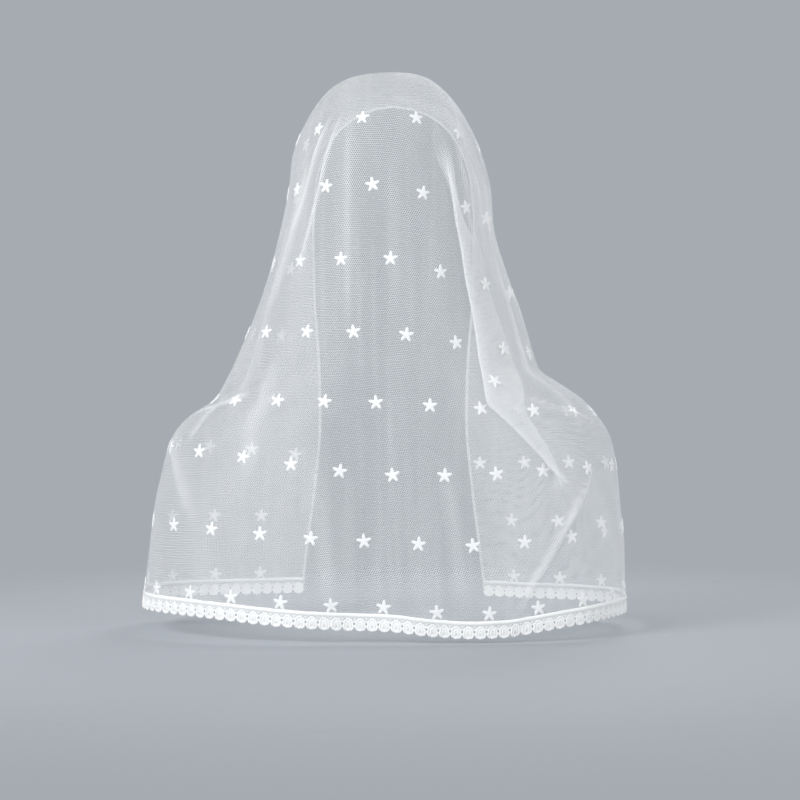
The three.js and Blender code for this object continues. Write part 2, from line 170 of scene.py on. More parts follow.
# The pleat that falls from the crown to the right shoulder: level, azimuth of its middle, width of its
# three layers, how far the cloth turns at each edge in degrees, and the cloth in each turn
PLEAT_COLUMNS = ("level", "azimuth", "width", "turn", "bend")
PLEAT = [
    (0, -26, 2, 0, 3),
    (110, -25, 2, 6, 4),
    (150, -28, 3, 70, 5),
    (185, -33.5, 5, 172, 5),
    (215, -38, 11, 178, 5),
    (240, -42.3, 18, 178, 5),
    (270, -45.5, 26, 178, 5),
    (300, -48, 32, 178, 5),
    (325, -49.3, 37, 178, 5),
    (350, -49, 39, 178, 5),
    (365, -46.5, 35, 178, 5),
    (385, -44.5, 29, 178, 5),
    (400, -46, 23, 178, 5),
    (420, -49, 15.5, 178, 5),
    (440, -52.8, 9.5, 178, 5),
    (455, -54.6, 6, 172, 5),
    (470, -56.4, 3.5, 120, 5),
    (485, -57.6, 2, 40, 4),
    (510, -58, 1.5, 6, 4),
    (560, -58, 1.5, 0, 2),
    (640, -58, 1.5, 0, 2),
]
# Cloth beside the pleat over which it comes out of the drape, and steps along half a layer and a bend
PLEAT_LEAD = 34.0
FLAT_STEPS = 3
BEND_STEPS = 6
# How milky the net is drawn on the pleat's layers and in its bends
LAYER_GATHER = 0.42
BEND_GATHER = 0.9

# Rows of stars: level at the back, distance of one star left of the back's middle line, pitch along
# the cloth, and how much higher the row lies at the left and at the right side
STAR_ROWS = [
    (114, 27, 48, -18, -25),
    (183, 18, 46, 0, -28),
    (250, 1, 46, 0, -28),
    (317, -12, 46.5, 2, -18),
    (384, 14, 46.5, 4, -12),
    (465, 0, 46.5, 28, 6),
    (526, -23, 48, 6, 2),
    (584, 7, 46.5, 0, 0),
]
# Level and azimuth of the one star that shows on the pleat
PLEAT_STAR = (362, -42.9)

# Half of the face opening's width, by how far below the crown
OPENING = [
    (22, 0), (23, 12), (26, 23), (32, 36), (42, 49), (56, 60), (75, 69), (100, 75),
    (150, 78), (210, 77), (270, 73), (330, 72), (400, 78), (460, 86), (560, 98),
]
FACE_TOP_LEVEL = 78.6

# Half of a star's arm, from the waist between two arms to near its tip: along the arm and across it
STAR_ARM = [(2.3, 1.671), (3.4, 1.62), (4.8, 1.45), (6.1, 1.15), (6.8, 0.65)]
# How a star is padded: the share of its outline left, and the height out of the cloth
STAR_DOME = [(0.97, 0.3), (0.88, 0.5), (0.6, 0.6), (0.3, 0.65)]

# Half of one motif of the trim, flat: along the hem from its middle, and down from the trim's top
NET_OUTLINE = [(0, 2.4), (5.45, 2.4), (5.45, 7.6), (4.3, 7.5), (3.2, 6.4), (1.7, 5.1), (0, 4.5)]
FAN_OUTLINE = [
    (0, 4.4), (1.7, 5.0), (3.2, 6.3), (4.3, 7.4), (5.45, 7.5), (5.45, 8.2), (4.75, 8.5), (4.35, 9.3),
    (4.75, 10.1), (5.45, 10.4), (5.45, 12.0), (4.9, 12.8), (4.6, 13.5), (4.0, 14.3), (3.3, 15.1),
    (2.4, 15.3), (1.75, 15.0), (1.25, 15.6), (0, 15.9),
]
# Threads on it: radius and points
FAN_THREADS = [
    (0.85, [(-0.3, 4.7), (1.7, 5.5), (3.3, 7.1), (3.6, 9.2), (3.9, 11.2), (4.2, 12.6), (3.7, 14.0)]),
    (0.85, [(-0.35, 7.2), (0.8, 8.0), (1.5, 9.5), (1.8, 11.4), (1.7, 13.2)]),
    (0.6, [(3.3, 7.0), (4.4, 7.1), (5.5, 7.5)]),
    (0.6, [(3.9, 11.6), (4.7, 11.5), (5.5, 11.3)]),
    (0.45, [(5.45, 2.9), (5.45, 7.2)]),
    (0.4, [(0.1, 4.8), (1.6, 3.9), (3.2, 2.9)]),
    (0.4, [(5.4, 5.4), (4.2, 4.2), (2.9, 2.9)]),
]
# Padded knots on it: middle, half width, half depth
FAN_KNOTS = [(0, 10.6, 0.8, 2.2), (0, 14.9, 1.3, 1.0), (-3.1, 14.2, 1.2, 1.0), (3.1, 14.2, 1.2, 1.0)]

# Section of the turned hem along the face edge: inwards from the edge, and out of the cloth
EDGE_PROFILE = [
    (-0.3, 0.0), (0.1, 0.4), (1.2, 0.48), (2.3, 0.4), (2.6, 0.0), (2.3, -0.4), (1.2, -0.48), (0.1, -0.4),
]


def curve(points):
    """A smooth curve through (at, value) pairs that never overshoots them."""
    xs = [float(p[0]) for p in points]
    ys = [float(p[1]) for p in points]
    rises = [(ys[i + 1] - ys[i]) / (xs[i + 1] - xs[i]) for i in range(len(xs) - 1)]
    slopes = []
    for i in range(len(xs)):
        before = rises[max(0, i - 1)]
        after = rises[min(len(rises) - 1, i)]
        slopes.append(0.0 if before * after <= 0 else 2 * before * after / (before + after))

    def value(at):
        t = min(max(at, xs[0]), xs[-1])
        i = min(max(bisect_right(xs, t) - 1, 0), len(xs) - 2)
        step = xs[i + 1] - xs[i]
        u = (t - xs[i]) / step
        start = (1 + 2 * u) * (1 - u) ** 2 * ys[i] + u * (1 - u) ** 2 * step * slopes[i]
        end = u * u * (3 - 2 * u) * ys[i + 1] + u * u * (u - 1) * step * slopes[i + 1]
        return start + end

    return value


def columns_of(table, names):
    """A curve over the first column for each other column of a table."""
    return {name: curve([(row[0], row[i]) for row in table]) for i, name in enumerate(names) if i}


def mix(start, end, share):
    return start + (end - start) * share


def ramp(start, end, at):
    t = min(1.0, max(0.0, (at - start) / (end - start)))
    return t * t * (3 - 2 * t)


section = columns_of(SECTIONS, SECTION_COLUMNS)
pleat = columns_of(PLEAT, PLEAT_COLUMNS)
hem_height = curve(HEM)
opening_half = curve(OPENING)


def hem_level(azimuth):
    """Level of the trim's top edge. The last sections hang straight, at a level of HEM_BASE less height."""
    return HEM_BASE - hem_height(azimuth)


def sides(level):
    """Half-widths to the left and right, and depths to the back and front."""
    return [section[name](level) for name in ("left", "right", "back", "front")]


def mean_radius(level):
    return sum(sides(level)) / 4


def fold_lift(level, azimuth, radius):
    """How far folds and creases lift the cloth. Those that pass the last section keep their height there."""
    lift = 0.0
    for top, end, first, last, width, height in FOLDS + CREASES:
        share = (level - first) / (last - first)
        if not 0 < share < 1:
            continue
        off = math.radians(azimuth - mix(top, end, share)) * radius / width
        if abs(off) > 3:
            continue
        fade = ramp(0, 0.35, share)
        if last < SECTIONS[-1][0]:
            fade *= ramp(1, 0.75, share)
        lift += height * math.exp(-off * off) * fade
    for start, start_level, end, end_level, width, height in RIDGES:
        share = (azimuth - start) / (end - start)
        off = (level - mix(start_level, end_level, share)) / width
        if 0 < share < 1 and abs(off) < 3:
            lift += height * math.exp(-off * off) * ramp(0, 0.25, share) * ramp(1, 0.7, share)
    return lift


class Ring:
    """The drape's section at one level."""

    def __init__(self, level):
        self.level = max(level, 0.01)
        self.z = section["z"](level) + CAD_HALF_WALL
        self.left, self.right, self.back, self.front = sides(self.level)
        self.square = section["square"](self.level)
        self.radius = (self.left + self.right + self.back + self.front) / 4

    def point(self, azimuth):
        sin = math.sin(math.radians(azimuth))
        cos = math.cos(math.radians(azimuth))
        side = self.left if sin >= 0 else self.right
        deep = self.back if cos >= 0 else self.front
        n = self.square
        reach = (abs(sin / side) ** n + abs(cos / deep) ** n) ** (-1 / n)
        reach += fold_lift(self.level, azimuth, self.radius)
        return Vector((reach * sin, reach * cos, self.z))


def drape(level, azimuth):
    return Ring(level).point(azimuth)


def gather_at(level, azimuth):
    """How far the net is drawn together there, from 0, flat, to 1, in a sharp crease."""
    radius = mean_radius(level)
    drawn = 0.0
    for top, end, first, last, width, height in CREASES:
        share = (level - first) / (last - first)
        if 0 < share < 1:
            off = math.radians(azimuth - mix(top, end, share)) * radius / (0.7 * width)
            fade = ramp(0, 0.3, share) * ramp(1, 0.7, share)
            drawn += min(1.0, 0.9 * abs(height) / width) * math.exp(-off * off) * fade
    for start, start_level, end, end_level, width, height in RIDGES:
        share = (azimuth - start) / (end - start)
        if 0 < share < 1:
            off = (level - mix(start_level, end_level, share)) / (0.6 * width)
            drawn += math.exp(-off * off) * ramp(0, 0.25, share) * ramp(1, 0.7, share)
    along = math.radians(azimuth) * radius
    streak = noise.noise(Vector((along / 7, level / 150, 5)))
    broad = noise.noise(Vector((along / 26, level / 240, 9)))
    return min(1.0, drawn + 0.15 * max(0.0, streak) + 0.13 * max(0.0, broad))


def pleat_line(level):
    """The pleat across the cloth, from the side to the back.

    Returns (along, out) pairs, how far it reaches to each side, how far out, and its scale near the crown.
    """
    scale = min(1.0, mean_radius(level) / 100)
    turn = math.radians(max(0.5, pleat["turn"](level)))
    radius = pleat["bend"](level) * scale / turn
    half = pleat["width"](level) * scale / 2
    start = (half * math.cos(turn), -half * math.sin(turn))
    centre = (start[0] + radius * math.sin(turn), start[1] + radius * math.cos(turn))
    inner = [(start[0] * k / FLAT_STEPS, start[1] * k / FLAT_STEPS) for k in range(1, FLAT_STEPS + 1)]
    for k in range(1, BEND_STEPS + 1):
        heading = -turn * (1 - k / BEND_STEPS)
        inner.append((centre[0] + radius * math.sin(heading), centre[1] - radius * math.cos(heading)))
    outer = [(-along, -out) for along, out in reversed(inner)]
    height = -inner[-1][1]
    reach = max(abs(along) for along, _ in inner)
    return outer + [(0.0, 0.0)] + inner, reach, height, scale


def beside_pleat(ring, along, out):
    """A point some way along the cloth from the pleat's middle and out of it."""
    per_degree = math.radians(ring.radius)
    azimuth = pleat["azimuth"](ring.level) + along / per_degree
    point = ring.point(azimuth)
    ahead = ring.point(azimuth + 1) - ring.point(azimuth - 1)
    outward = Vector((-ahead.y, ahead.x, 0)).normalized()
    if outward.x * point.x + outward.y * point.y < 0:
        outward.negate()
    return point + outward * out


# Rows of the fine cloth: levels down to the shoulder, closest where the face opening begins, then shares
# of the way from the shoulder to the hem. Along a row come the right side, the pleat between its two
# leads, and the left side.
ROW_STEP = 3.6
upper_levels = [1.2, 3.0, 5.5, 8.5]
while upper_levels[-1] + ROW_STEP < FACE_TOP_LEVEL - 2:
    upper_levels.append(upper_levels[-1] + ROW_STEP)
upper_levels.append(FACE_TOP_LEVEL)
upper_levels += [FACE_TOP_LEVEL + step for step in (0.15, 0.5, 1.1, 2.0, 3.2, 4.8, 6.8, 9.4)]
while upper_levels[-1] + ROW_STEP < SHOULDER_LEVEL - 1:
    upper_levels.append(upper_levels[-1] + ROW_STEP)
upper_levels.append(SHOULDER_LEVEL)
LOWER_COUNT = 44
RIGHT_COUNT = 62
LEFT_COUNT = 118
LEAD_COUNT = 9
ROW_COUNT = len(upper_levels) + LOWER_COUNT


def row_level(row, azimuth):
    if row < len(upper_levels):
        return upper_levels[row]
    share = (row - len(upper_levels) + 1) / LOWER_COUNT
    return mix(SHOULDER_LEVEL, hem_level(azimuth) + TRIM_OVERLAP, share)


def edge_azimuth(row, side):
    """Where a row ends at the face opening, on the left (1) or right (-1) side."""
    if row_level(row, 180) <= FACE_TOP_LEVEL:
        return 180.0
    low, high = 95.0, 180.0
    for _ in range(26):
        middle = (low + high) / 2
        point = drape(row_level(row, side * middle), side * middle)
        if abs(point.x) > opening_half(-point.z):
            low = middle
        else:
            high = middle
    return low


def ruffle(point):
    """A slight unevenness of the hanging cloth, in millimetres: wide waves and small upright ripples."""
    wide = noise.noise(Vector((point.x / 60, point.y / 60, point.z / 140)))
    fine = noise.noise(Vector((point.x / 13 + 7, point.y / 13, point.z / 110)))
    return 1.3 * wide + 1.7 * (0.5 - abs(fine)) ** 2


def ruffled(point):
    """A point of the drape with the cloth's unevenness, which starts below the tight crown."""
    return point + Vector((point.x, point.y, 0)).normalized() * ruffle(point) * ramp(20, 90, -point.z)


def cloth_row(row):
    """Points of one row with their gathers, from the right face edge over the back to the left one."""
    middle = pleat["azimuth"](row_level(row, -50))
    level = row_level(row, middle)
    ring = Ring(level)
    per_degree = math.radians(ring.radius)
    line, reach, height, scale = pleat_line(level)
    lead = reach + PLEAT_LEAD * scale
    right_edge = -edge_azimuth(row, -1)
    left_edge = edge_azimuth(row, 1)
    azimuths = [mix(right_edge, middle - lead / per_degree, k / RIGHT_COUNT) for k in range(RIGHT_COUNT)]
    points = [drape(row_level(row, azimuth), azimuth) for azimuth in azimuths]
    start, end = line[0], line[-1]
    lead_in = [mix(-lead, start[0], k / LEAD_COUNT) for k in range(LEAD_COUNT)]
    lead_out = [mix(end[0], lead, k / LEAD_COUNT) for k in range(1, LEAD_COUNT + 1)]
    points += [beside_pleat(ring, along, start[1] * ramp(-lead, -reach, along)) for along in lead_in]
    points += [beside_pleat(ring, along, out) for along, out in line]
    points += [beside_pleat(ring, along, end[1] * ramp(lead, reach, along)) for along in lead_out]
    azimuths += [middle + along / per_degree for along in lead_in + [along for along, _ in line] + lead_out]
    left = [mix(middle + lead / per_degree, left_edge, k / LEFT_COUNT) for k in range(1, LEFT_COUNT + 1)]
    points += [drape(row_level(row, azimuth), azimuth) for azimuth in left]
    azimuths += left
    gathers = [gather_at(row_level(row, azimuth), azimuth) for azimuth in azimuths]
    folded = ramp(40, 170, pleat["turn"](level))
    for k in range(len(line)):
        at = RIGHT_COUNT + LEAD_COUNT + k
        closed = LAYER_GATHER if BEND_STEPS <= k < len(line) - BEND_STEPS else BEND_GATHER
        gathers[at] = max(gathers[at], closed * folded)
    return points, gathers


class Hem:
    """The line along which the trim is sewn, measured in millimetres from the right face edge."""

    def __init__(self):
        first = -edge_azimuth(ROW_COUNT - 1, -1)
        last = edge_azimuth(ROW_COUNT - 1, 1)
        steps = 360
        above = 12.0
        self.at = [0.0]
        self.frames = []
        for k in range(steps + 1):
            azimuth = mix(first, last, k / steps)
            level = hem_level(azimuth) + TRIM_OVERLAP
            point = ruffled(drape(level, azimuth))
            down = (point - ruffled(drape(level - above, azimuth))).normalized()
            beside = ruffled(drape(level, azimuth + 0.5)) - ruffled(drape(level, azimuth - 0.5))
            outward = beside.cross(down).normalized()
            if outward.x * point.x + outward.y * point.y < 0:
                outward.negate()
            if self.frames:
                self.at.append(self.at[-1] + (point - self.frames[-1][0]).length)
            self.frames.append((point, down, outward))
        self.length = self.at[-1]

    def place(self, along, down, out):
        """A point of the trim, given along the hem, down from the trim's top, and out of the cloth."""
        i = min(max(bisect_right(self.at, along) - 1, 0), len(self.at) - 2)
        share = (along - self.at[i]) / (self.at[i + 1] - self.at[i])
        point, fall, outward = [a.lerp(b, share) for a, b in zip(self.frames[i], self.frames[i + 1])]
        return (point + fall * (down - TRIM_OVERLAP) + outward * out) * MM


def finish_mesh(name, bm, *materials):
    """Makes an object of a bmesh, in metres, and gives it its materials and body."""
    mesh = bpy.data.meshes.new(name)
    bm.to_mesh(mesh)
    bm.free()
    for material in materials:
        mesh.materials.append(material)
    for polygon in mesh.polygons:
        polygon.use_smooth = True
    mesh.set_sharp_from_angle(angle=math.radians(65))
    piece = bpy.data.objects.new(name, mesh)
    bpy.context.scene.collection.objects.link(piece)
    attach(piece, "root")
    return piece


# Camera first: level with the shoulders, two metres behind the veil, where a pixel is 0.95 mm
PIXEL = 0.95 * MM
FRAME_PIXELS = 800
CAMERA_DISTANCE = 2.0
CAMERA_RIGHT = 7 * PIXEL
CAMERA_DOWN = 325 * PIXEL
camera_data = bpy.data.cameras.new("camera")
camera_data.sensor_width = 36.0
camera_data.lens = camera_data.sensor_width * CAMERA_DISTANCE / (FRAME_PIXELS * PIXEL)
camera = bpy.data.objects.new("camera", camera_data)
camera.location = (-CAMERA_RIGHT, CAMERA_DISTANCE, -CAMERA_DOWN)
camera.rotation_euler = (math.radians(90), 0, math.radians(180))
bpy.context.scene.collection.objects.link(camera)
bpy.context.scene.camera = camera


# Materials
def to_linear(hex_colour):
    """An sRGB hex colour as linear RGBA."""
    channels = [int(hex_colour[i:i + 2], 16) / 255 for i in (1, 3, 5)]
    return [c / 12.92 if c <= 0.04045 else ((c + 0.055) / 1.055) ** 2.4 for c in channels] + [1.0]


def new_material(name):
    material = bpy.data.materials.new(name)
    material.use_nodes = True
    material.node_tree.nodes.clear()
    return material, material.node_tree


def add_node(tree, kind, inputs=None, **settings):
    """Adds a node, sets its properties, and sets or links its inputs by name or number."""
    node = tree.nodes.new(kind)
    for name, value in settings.items():
        setattr(node, name, value)
    for key, value in (inputs or {}).items():
        if isinstance(value, bpy.types.NodeSocket):
            tree.links.new(value, node.inputs[key])
        else:
            node.inputs[key].default_value = value
    return node


def hexagon_edge(tree, place):
    """Distance from the middle of a hexagonal cell to its edge: 0 in the middle, 0.5 at the edge."""
    period = (1.0, math.sqrt(3), 1.0)
    half = (0.5, math.sqrt(3) / 2, 0.0)
    cells = []
    lengths = []
    for shift in ((0.0, 0.0, 0.0), half):
        moved = add_node(tree, "ShaderNodeVectorMath", {0: place, 1: shift}, operation="SUBTRACT").outputs[0]
        wrapped = add_node(tree, "ShaderNodeVectorMath", {0: moved, 1: period, 2: (0.0, 0.0, 0.0)},
                           operation="WRAP").outputs[0]
        cell = add_node(tree, "ShaderNodeVectorMath", {0: wrapped, 1: half}, operation="SUBTRACT").outputs[0]
        cells.append(cell)
        lengths.append(add_node(tree, "ShaderNodeVectorMath", {0: cell}, operation="LENGTH").outputs[1])
    nearer = add_node(tree, "ShaderNodeMath", {0: lengths[0], 1: lengths[1]},
                      operation="LESS_THAN").outputs[0]
    cell = add_node(tree, "ShaderNodeMix", {0: nearer, 4: cells[1], 5: cells[0]}, data_type="VECTOR")
    corner = add_node(tree, "ShaderNodeVectorMath", {0: cell.outputs[1]}, operation="ABSOLUTE").outputs[0]
    slanted = add_node(tree, "ShaderNodeVectorMath", {0: corner, 1: half}, operation="DOT_PRODUCT").outputs[1]
    across = add_node(tree, "ShaderNodeSeparateXYZ", {0: corner}).outputs[0]
    return add_node(tree, "ShaderNodeMath", {0: slanted, 1: across}, operation="MAXIMUM").outputs[0]


def net_material(name, period, thread, gathered, uv_map, uv_scale):
    """Net of hexagonal cells on the cloth's flat coordinates, see-through between its threads.

    The period is in metres, the thread is half its width as a share of the period, and gathered is how
    much wider it is drawn where the cloth is gathered and its layers crowd together.
    """
    material, tree = new_material(name)
    place = add_node(tree, "ShaderNodeUVMap", uv_map=uv_map).outputs[0]
    flat = add_node(tree, "ShaderNodeVectorMath", {0: place, 1: (uv_scale, uv_scale, 1.0)},
                    operation="MULTIPLY").outputs[0]
    in_cells = add_node(tree, "ShaderNodeVectorMath", {0: flat, 1: (1 / period, 1 / period, 1.0)},
                        operation="MULTIPLY").outputs[0]
    # The cells of a soft net wander by up to a third of their width over some 20 mm
    loose = add_node(tree, "ShaderNodeTexNoise", {"Vector": flat, "Scale": 45.0, "Detail": 2.0})
    wander = add_node(tree, "ShaderNodeVectorMath", {0: loose.outputs["Color"], 1: (0.7, 0.7, 0.0)},
                      operation="MULTIPLY").outputs[0]
    moved = add_node(tree, "ShaderNodeVectorMath", {0: in_cells, 1: wander}, operation="ADD").outputs[0]
    edge = hexagon_edge(tree, moved)
    gather = add_node(tree, "ShaderNodeAttribute", attribute_name="gather").outputs["Fac"]
    # Courses of the knitted net, some looser and some tighter, drawn 2.8 mm apart so that they show
    where = add_node(tree, "ShaderNodeTexCoord").outputs["Object"]
    courses = add_node(tree, "ShaderNodeTexWave", {
        "Vector": where, "Scale": math.tau / 20 / (2.8 * MM), "Distortion": 5.0, "Detail": 2.0,
        "Detail Scale": 0.6,
    }, wave_type="BANDS", bands_direction="Z").outputs["Fac"]
    uneven = add_node(tree, "ShaderNodeMath", {0: courses, 1: 0.5 * thread, 2: 0.75 * thread},
                      operation="MULTIPLY_ADD").outputs[0]
    width = add_node(tree, "ShaderNodeMath", {0: gather, 1: gathered, 2: uneven},
                     operation="MULTIPLY_ADD").outputs[0]
    inner = add_node(tree, "ShaderNodeMath", {0: 0.5, 1: width}, operation="SUBTRACT").outputs[0]
    net = add_node(tree, "ShaderNodeMath", {0: edge, 1: inner}, operation="GREATER_THAN").outputs[0]
    tint = add_node(tree, "ShaderNodeTexNoise", {"Vector": flat, "Scale": 9.0, "Detail": 3.0})
    colour = add_node(tree, "ShaderNodeMix", {
        0: tint.outputs["Fac"], 6: to_linear("#EFF1F3"), 7: to_linear("#FCFCFB"),
    }, data_type="RGBA").outputs[2]
    round_thread = add_node(tree, "ShaderNodeBump", {
        "Strength": 0.5, "Distance": 0.2 * MM, "Height": edge,
    }).outputs[0]
    thread_shader = add_node(tree, "ShaderNodeBsdfPrincipled", {
        "Base Color": colour, "Roughness": 0.5, "Sheen Weight": 0.4, "Sheen Roughness": 0.35,
        "Normal": round_thread,
    }).outputs[0]
    # Light that falls on the far side glows through the white threads
    through = add_node(tree, "ShaderNodeBsdfTranslucent", {"Color": colour}).outputs[0]
    lit = add_node(tree, "ShaderNodeMixShader", {0: 0.35, 1: thread_shader, 2: through}).outputs[0]
    clear = add_node(tree, "ShaderNodeBsdfTransparent", {"Color": (1, 1, 1, 1)}).outputs[0]
    sheer = add_node(tree, "ShaderNodeMixShader", {0: net, 1: clear, 2: lit}).outputs[0]
    add_node(tree, "ShaderNodeOutputMaterial", {"Surface": sheer})
    return material


def thread_material(name, light, painted_groove_shade, pitch, relief):
    """Dense white stitching: threads side by side along V, their pitch and relief in millimetres; the grooves
    between them are darker in colour, a painted shade.
    """
    material, tree = new_material(name)
    place = add_node(tree, "ShaderNodeUVMap", uv_map="stitches").outputs[0]
    # A wave texture at scale 1 has 20 radians to the metre
    wave = add_node(tree, "ShaderNodeTexWave", {
        "Vector": place, "Scale": math.tau / 20 / (pitch * MM), "Distortion": 1.2,
        "Detail": 1.0, "Detail Scale": 2.0,
    }, wave_type="BANDS", bands_direction="Y", wave_profile="SIN").outputs["Fac"]
    where = add_node(tree, "ShaderNodeTexCoord").outputs["Object"]
    # Loose fibres about a millimetre across, coarser than real ones so that they show
    fuzz = add_node(tree, "ShaderNodeTexNoise", {"Vector": where, "Scale": 1200.0, "Detail": 2.0})
    height = add_node(tree, "ShaderNodeMath", {0: fuzz.outputs["Fac"], 1: 0.4, 2: wave},
                      operation="MULTIPLY_ADD").outputs[0]
    # The colour darkens into the grooves between the threads, as the bump does there: painted shade in the
    # grooves
    colour = add_node(tree, "ShaderNodeMix", {
        0: wave, 6: to_linear(painted_groove_shade), 7: to_linear(light),
    }, data_type="RGBA").outputs[2]
    bump = add_node(tree, "ShaderNodeBump", {"Strength": 0.6, "Distance": relief * MM, "Height": height})
    shader = add_node(tree, "ShaderNodeBsdfPrincipled", {
        "Base Color": colour, "Roughness": 0.48, "Sheen Weight": 0.3, "Sheen Roughness": 0.35,
        "Normal": bump.outputs[0],
    })
    add_node(tree, "ShaderNodeOutputMaterial", {"Surface": shader.outputs[0]})
    return material


# The tulle veil: a grid whose first row closes in the middle of the crown and whose ends meet above the
# face opening
rows = [cloth_row(row) for row in range(ROW_COUNT)]
crown = Vector((0, 0, section["z"](0) + CAD_HALF_WALL))
column_count = len(rows[0][0])
veil_mesh = bmesh.new()
gather_layer = veil_mesh.verts.layers.float.new("gather")
grid = bmesh.ops.create_grid(veil_mesh, x_segments=column_count - 1, y_segments=len(rows), size=1.0)["verts"]
veil_rows = [grid[k * column_count:(k + 1) * column_count] for k in range(len(rows) + 1)]
for vert in veil_rows[0]:
    vert.co = crown * MM
for line, (points, gathers) in zip(veil_rows[1:], rows):
    for vert, point, gather in zip(line, points, gathers):
        vert.co = ruffled(point) * MM
        vert[gather_layer] = gather
edge_row = upper_levels.index(FACE_TOP_LEVEL) + 1
closed_ends = [line[k] for line in veil_rows[1:edge_row + 1] for k in (0, -1)]
bmesh.ops.remove_doubles(veil_mesh, verts=veil_rows[0] + closed_ends, dist=1e-6)
bmesh.ops.recalc_face_normals(veil_mesh, faces=veil_mesh.faces)
veil_mesh.normal_update()
face_edge_verts = []
for line in veil_rows[edge_row:]:
    right = line[0] if line[0].is_valid else line[-1]
    left = line[-1] if line[-1].is_valid else line[0]
    face_edge_verts = [right] + face_edge_verts + [left]
face_edge_path = [(vert.co.copy(), vert.normal.copy()) for vert in face_edge_verts]
cloth_tree = BVHTree.FromBMesh(veil_mesh)
veil_area = sum(face.calc_area() for face in veil_mesh.faces)
veil = finish_mesh("tulle_veil", veil_mesh)
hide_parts("tulle_veil")

# Flat coordinates of the cloth, unwrapped with little stretch, so that most of the net's cells stay within
# a sixth of their size, and scaled to metres by its area
bpy.context.view_layer.objects.active = veil
veil.select_set(True)
veil.data.uv_layers.new(name="cloth")
bpy.ops.object.mode_set(mode="EDIT")
bpy.ops.mesh.select_all(action="SELECT")
bpy.ops.uv.unwrap(method="MINIMUM_STRETCH", iterations=8, margin=0.0)
bpy.ops.object.mode_set(mode="OBJECT")
veil.select_set(False)


def flat_area(mesh, layer):
    """Area of a mesh's faces on its UV map."""
    total = 0.0
    for polygon in mesh.polygons:
        corners = [layer.data[i].uv for i in polygon.loop_indices]
        for one, two in zip(corners, corners[1:] + corners[:1]):
            total += (one.x * two.y - two.x * one.y) / 2
    return abs(total)


# Polyester tulle, knitted and heat set: a fine white hexagonal net that is nearly clear face on,
# and turns milky where it is seen edge on, lies double or is drawn into a crease. Real cells are about
# 0.8 mm; they are drawn coarser so that they show.
flat_scale = math.sqrt(veil_area / flat_area(veil.data, veil.data.uv_layers["cloth"]))
tulle = net_material("polyester_tulle", MESH_PERIOD * MM, MESH_THREAD, 0.2, "cloth", flat_scale)
veil.data.materials.append(tulle)
thicken = veil.modifiers.new("thickness", "SOLIDIFY")
thicken.thickness = CLOTH_THICK * MM
thicken.offset = 0.0


# Embroidered stars, each laid on the outermost layer of the cloth
def azimuth_at(level, length):
    """Azimuth of a point that lies some length of cloth left of the back's middle line."""
    ring = Ring(level)
    step = math.copysign(0.5, length)
    azimuth = gone = 0.0
    point = ring.point(0)
    while gone < abs(length) and abs(azimuth) < 175:
        azimuth += step
        ahead = ring.point(azimuth)
        gone += (ahead - point).length
        point = ahead
    return azimuth


def outermost(level, azimuth):
    """The outermost layer of the cloth, past the pleat too."""
    ring = Ring(level)
    along = math.radians(azimuth - pleat["azimuth"](level)) * ring.radius
    _, reach, height, scale = pleat_line(level)
    lead = reach + PLEAT_LEAD * scale
    if abs(along) > lead:
        return ring.point(azimuth)
    if along > reach:
        return beside_pleat(ring, along, -height * ramp(lead, reach, along))
    return beside_pleat(ring, along, height * ramp(-lead, -reach, along))


def star_spots():
    """Level, azimuth and turn of every star that the cloth has room for."""
    spots = [(*PLEAT_STAR, 20)]
    for number, (row, first, pitch, left_rise, right_rise) in enumerate(STAR_ROWS):
        for k in range(-12, 13):
            azimuth = azimuth_at(row, first + k * pitch)
            rise = left_rise if azimuth > 0 else right_rise
            drop = 0.0
            if row >= SHOULDER_LEVEL:
                share = (row - SHOULDER_LEVEL) / (hem_level(0) - SHOULDER_LEVEL)
                drop = share * (hem_level(azimuth) - hem_level(0))
            bow = 1 if row < SHOULDER_LEVEL else 2
            level = row + drop - rise * abs(math.sin(math.radians(azimuth))) ** bow
            spot = outermost(level, azimuth)
            clear = opening_half(-spot.z) + STAR_RADIUS + STAR_CLEAR
            if abs(azimuth) > 170 or (spot.y < 0 and abs(spot.x) < clear):
                continue
            spots.append((level, azimuth, 8 * math.sin(3.1 * k + 1.7 * number)))
    return spots


def extrude_end(bm, end, keep):
    """Extrudes an end face and returns the new one; the old one is kept only where it closes the shape."""
    raised = bmesh.ops.extrude_face_region(bm, geom=[end])["geom"]
    if not keep:
        bmesh.ops.delete(bm, geom=[end], context="FACES_ONLY")
    return next(part for part in raised if isinstance(part, bmesh.types.BMFace))


